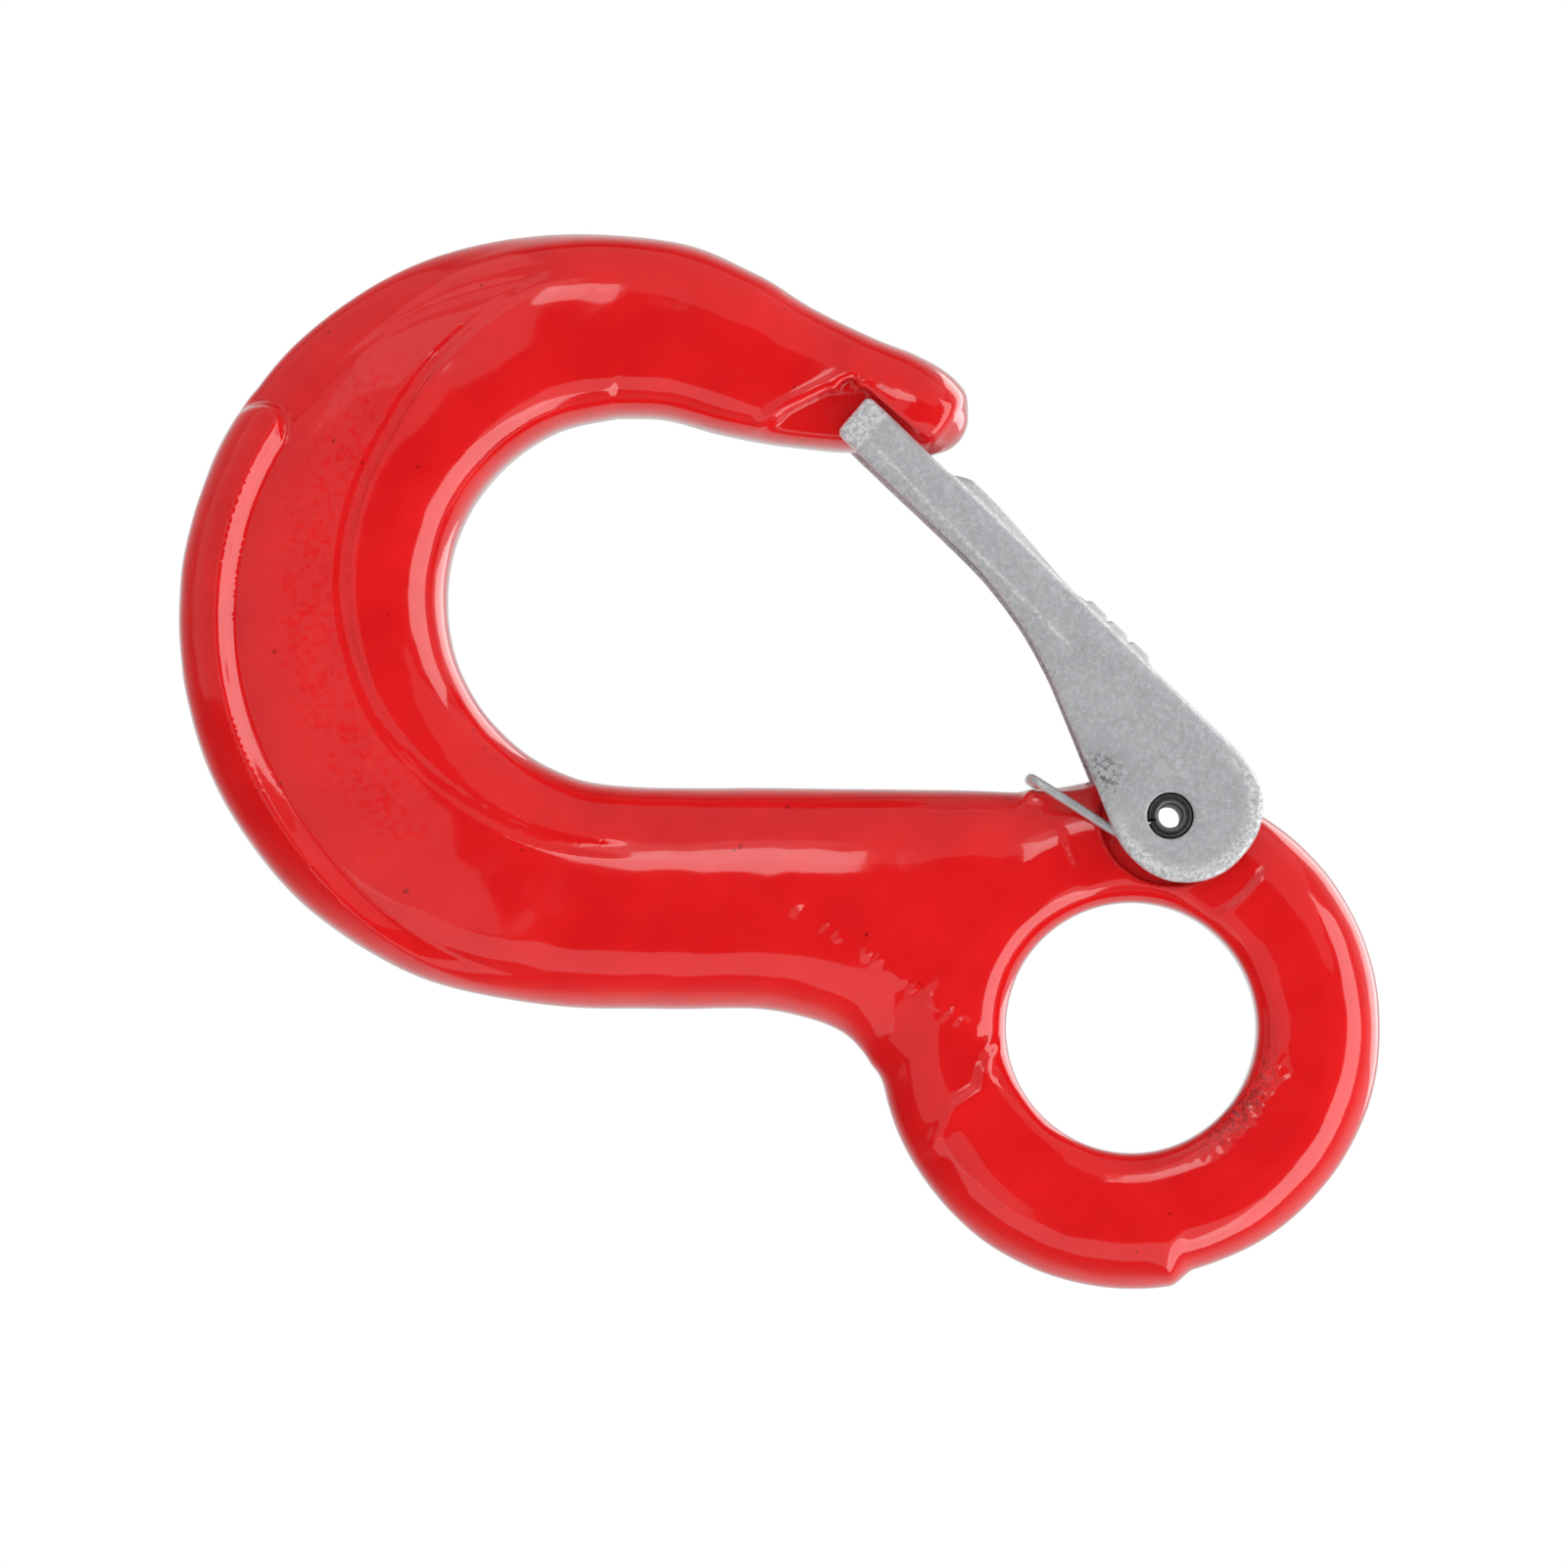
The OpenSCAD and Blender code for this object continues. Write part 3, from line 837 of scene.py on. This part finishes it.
# ---- Studio ----
VIEW_RIGHT = Vector((-0.6494, 0, 0.7604))      # the picture's right and up in the hook's frame
VIEW_UP = Vector((-0.7604, 0, -0.6494))
AIM = Vector((3.97, 0, -42.31)) * MM
VIEW_WIDE = 157.2 * MM
LENS, SENSOR = 400, 36
FROM_BELOW = math.radians(1.5)                 # the lens looks up at the hook by this much
LIGHT_FAR = 0.8                                # metres from the aim to every light
FLOOR_R, FLOOR_Z = 0.6, -0.3


def make_camera():
    data = bpy.data.cameras.new("camera")
    data.lens, data.sensor_width = LENS, SENSOR
    data.clip_start, data.clip_end = 0.01, 50
    cam = bpy.data.objects.new("camera", data)
    bpy.context.scene.collection.objects.link(cam)
    straight = VIEW_RIGHT.cross(VIEW_UP)
    away = straight * math.cos(FROM_BELOW) - VIEW_UP * math.sin(FROM_BELOW)
    up = VIEW_UP * math.cos(FROM_BELOW) + straight * math.sin(FROM_BELOW)
    turn = Matrix((VIEW_RIGHT, up, away)).transposed().to_4x4()
    cam.matrix_world = Matrix.Translation(AIM + away * VIEW_WIDE * LENS / SENSOR) @ turn
    bpy.context.scene.camera = cam


def make_light(name, way, tilt, wide, deep, bright):
    """Soft box or card: `way` is its direction in the hook's plane in degrees, `tilt` its angle
    from -Y, `wide` its length round the hook, and `bright` how it compares with white paper."""
    a, t = math.radians(way), math.radians(tilt)
    out = Vector((math.cos(a) * math.sin(t), -math.cos(t), math.sin(a) * math.sin(t)))
    along = Vector((-math.sin(a), 0, math.cos(a)))
    data = bpy.data.lights.new(name, "AREA")
    data.shape, data.size, data.size_y = "RECTANGLE", wide, deep
    data.energy = bright * math.pi * wide * deep
    light = bpy.data.objects.new(name, data)
    turn = Matrix((along, out.cross(along), out)).transposed().to_4x4()
    light.matrix_world = Matrix.Translation(AIM + out * LIGHT_FAR) @ turn
    light.visible_camera = False
    bpy.context.scene.collection.objects.link(light)


def make_world():
    """White to the camera, soft light stronger in front, and to glossy reflections a dim tent,
    darkest towards -Y, where its opening is, and darker towards -Z than +Z."""
    world = bpy.data.worlds.new("studio")
    bpy.context.scene.world = world
    world.use_nodes = True
    tree = world.node_tree
    tree.nodes.clear()
    new, link = tree.nodes.new, tree.links.new
    place = new("ShaderNodeTexCoord")
    split = new("ShaderNodeSeparateXYZ")
    link(place.outputs["Generated"], split.inputs[0])
    height = new("ShaderNodeMapRange")
    for key, v in (("From Min", -0.3), ("From Max", 0.35), ("To Min", 0.04), ("To Max", 0.7)):
        height.inputs[key].default_value = v
    link(split.outputs["Z"], height.inputs["Value"])
    # well behind the hook the tent is equally bright at every height
    level = new("ShaderNodeMapRange")
    for key, v in (("From Min", 0.35), ("From Max", 0.9), ("To Max", 0.62)):
        level.inputs[key].default_value = v
    link(split.outputs["Y"], level.inputs["Value"])
    link(height.outputs["Result"], level.inputs["To Min"])

    def shade(stops, darker_below=False):
        """Background whose brightness follows y of the direction, through (y, brightness) stops."""
        depth = new("ShaderNodeMapRange")
        depth.inputs["From Min"].default_value = -1
        link(split.outputs["Y"], depth.inputs["Value"])
        ramp = new("ShaderNodeValToRGB")
        while len(ramp.color_ramp.elements) < len(stops):
            ramp.color_ramp.elements.new(0.5)
        for e, (at, v) in zip(ramp.color_ramp.elements, stops):
            e.position, e.color = (at + 1) / 2, (v, v, v, 1)
        link(depth.outputs["Result"], ramp.inputs["Fac"])
        ground = new("ShaderNodeBackground")
        link(ramp.outputs["Color"], ground.inputs["Color"])
        if darker_below:
            link(level.outputs["Result"], ground.inputs["Strength"])
        return ground.outputs[0]
    # y is -1 in front of the hook and 1 behind it
    tent = shade(((-1, 0.01), (-0.8, 0.02), (-0.4, 0.07), (0, 0.3), (0.3, 0.8), (1, 1.0)), True)
    soft = shade(((-1, 0.64), (0.1, 0.64), (1, 0.5)))
    white = new("ShaderNodeBackground")
    path, out = new("ShaderNodeLightPath"), new("ShaderNodeOutputWorld")
    glossy, seen = new("ShaderNodeMixShader"), new("ShaderNodeMixShader")
    link(path.outputs["Is Glossy Ray"], glossy.inputs["Fac"])
    link(soft, glossy.inputs[1])
    link(tent, glossy.inputs[2])
    link(path.outputs["Is Camera Ray"], seen.inputs["Fac"])
    link(glossy.outputs[0], seen.inputs[1])
    link(white.outputs[0], seen.inputs[2])
    link(seen.outputs[0], out.inputs["Surface"])
    white.inputs["Color"].default_value = (1, 1, 1, 1)


def make_floor():
    bpy.ops.mesh.primitive_circle_add(vertices=96, radius=FLOOR_R, fill_type="NGON",
                                      location=(0, 0, FLOOR_Z))
    floor = bpy.context.object
    floor.name = "floor"
    floor.data.materials.append(floor_paint())
    floor.visible_glossy = False               # keeps the floor's mirror image off the gloss paint


make_camera()
make_world()
make_floor()
make_light("soft_box_right", 108, 64, 1.9, 0.46, 1.9)
make_light("soft_box_top", 222, 20, 0.15, 0.22, 1.8)
make_light("card_below", 34, 50, 1.1, 0.4, 0.5)
make_light("card_left", -62, 30, 1.2, 0.75, 0.3)
make_light("card_top", -150, 60, 1.5, 1.4, 0.24)
make_light("card_side", -82, 86, 1.5, 0.8, 0.2)
make_light("soft_box_rear", 150, 130, 0.8, 0.5, 1.5)
bpy.context.scene.view_settings.view_transform = "Standard"

# spacing of the fields' grids
HOOK_GRID = 0.36
LATCH_GRID = 0.22

hook = make_hook(red_paint())
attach(hook, "hook")
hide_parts("hook_body")

latch = make_latch(zinc_plate())
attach(latch, "latch")
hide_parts("latch")

pin = make_pin(black_steel())
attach(pin, "hook")
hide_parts("latch_pin")

steel = spring_wire()
coils, bridge = make_spring(steel)
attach(bridge, "hook")
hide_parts("latch_spring")
for coil, side in coils:
    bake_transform(coil)
